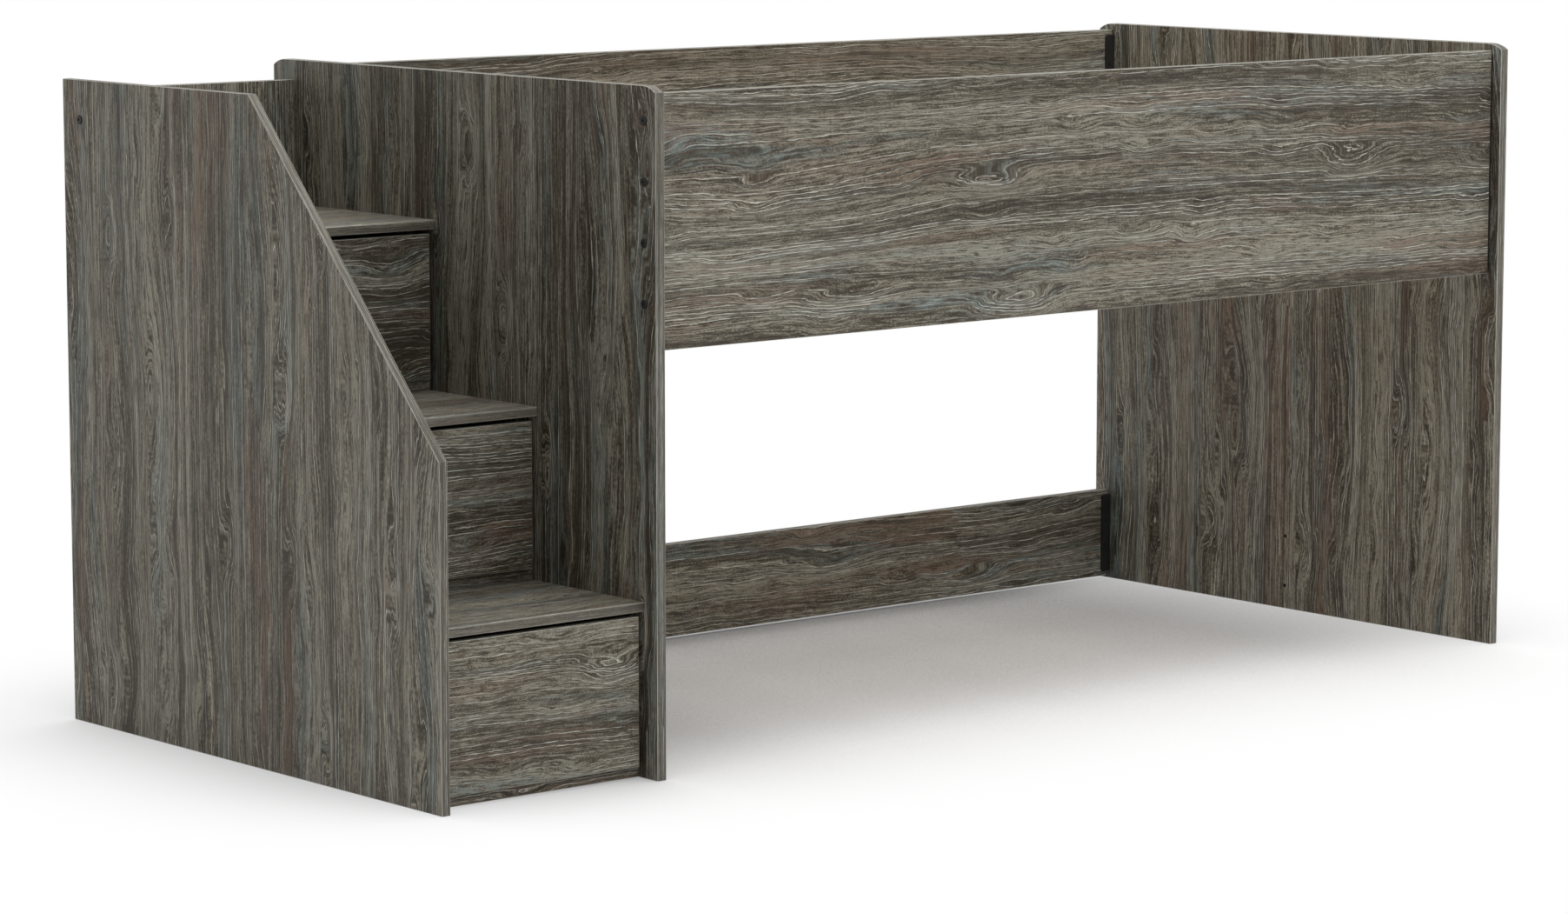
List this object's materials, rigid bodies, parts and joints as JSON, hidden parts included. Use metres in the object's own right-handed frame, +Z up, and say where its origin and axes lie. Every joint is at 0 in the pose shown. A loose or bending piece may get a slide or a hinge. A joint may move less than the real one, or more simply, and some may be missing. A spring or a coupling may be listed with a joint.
{
  "type": "loft bed with storage stairs",
  "caption": "Low loft bed with tall guard rails and slatted base, open space below, and a storage staircase with sliding drawers in its steps at the head end.",
  "frame": {"origin": "on the floor, under the middle of the whole piece, stairs included", "axes": "+X along the bed from the stairs to the foot end, +Y from the front to the wall side, +Z up"},
  "size_m": [2.4074, 1.05, 1.102],
  "materials": {
    "panel_laminate": "grey-brown weathered oak laminate, grain upright, paler edges",
    "rail_laminate": "grey-brown weathered oak laminate, grain along the rail",
    "tread_laminate": "grey-brown weathered oak laminate, grain across the step",
    "front_laminate": "grey-brown weathered oak laminate, grain across the front",
    "drawer_box_grey": "plain grey foil on board",
    "drawer_floor": "thin hardboard with grey foil",
    "pine_support": "planed softwood",
    "beech_dowel": "turned beech",
    "bracket_black": "black powder coat",
    "bolt_black": "black oxide",
    "zinc": "zinc plated",
    "runner_white": "white baked enamel"
  },
  "bodies": {
    "bed": {"barrel_nuts": "zinc", "bracket_screws": "bolt_black", "cam_locks": "zinc", "cam_posts": "zinc", "footboard_panel": "panel_laminate", "front_ledger": "pine_support", "front_rail": "rail_laminate", "front_rail_foot_bracket": "bracket_black", "front_rail_head_bracket": "bracket_black", "headboard_panel": "panel_laminate", "ledger_screws": "zinc", "lower_step_rail": "front_laminate", "lower_tread": "tread_laminate", "middle_step_rail": "front_laminate", "middle_tread": "tread_laminate", "rail_bolts": "bolt_black", "rear_ledger": "pine_support", "rear_rail": "rail_laminate", "rear_rail_foot_bracket": "bracket_black", "rear_rail_head_bracket": "bracket_black", "rear_stretcher": "rail_laminate", "rear_stretcher_foot_bracket": "bracket_black", "rear_stretcher_head_bracket": "bracket_black", "runner_tracks": "runner_white", "slat_01": "pine_support", "slat_02": "pine_support", "slat_03": "pine_support", "slat_04": "pine_support", "slat_05": "pine_support", "slat_06": "pine_support", "slat_07": "pine_support", "slat_08": "pine_support", "slat_09": "pine_support", "slat_10": "pine_support", "slat_screws": "zinc", "stair_back_panel": "panel_laminate", "stair_bolts": "bolt_black", "stair_dowels": "beech_dowel", "stair_side_panel": "panel_laminate", "upper_step_rail": "front_laminate", "upper_tread": "tread_laminate"},
    "lower_drawer": {"lower_drawer_back": "drawer_box_grey", "lower_drawer_floor": "drawer_floor", "lower_drawer_front": "front_laminate", "lower_drawer_left_side": "drawer_box_grey", "lower_drawer_right_side": "drawer_box_grey", "lower_drawer_slides": "runner_white"},
    "middle_drawer": {"middle_drawer_back": "drawer_box_grey", "middle_drawer_floor": "drawer_floor", "middle_drawer_front": "front_laminate", "middle_drawer_left_side": "drawer_box_grey", "middle_drawer_right_side": "drawer_box_grey", "middle_drawer_slides": "runner_white"},
    "upper_drawer": {"upper_drawer_back": "drawer_box_grey", "upper_drawer_floor": "drawer_floor", "upper_drawer_front": "front_laminate", "upper_drawer_left_side": "drawer_box_grey", "upper_drawer_right_side": "drawer_box_grey", "upper_drawer_slides": "runner_white"}
  },
  "joints": [
    {"name": "lower_drawer_slide", "type": "slide", "parent": "bed", "child": "lower_drawer", "axis": [0, -1, 0], "range_m": [0, 0.25]},
    {"name": "middle_drawer_slide", "type": "slide", "parent": "bed", "child": "middle_drawer", "axis": [0, -1, 0], "range_m": [0, 0.25]},
    {"name": "upper_drawer_slide", "type": "slide", "parent": "bed", "child": "upper_drawer", "axis": [0, -1, 0], "range_m": [0, 0.25]}
  ]
}
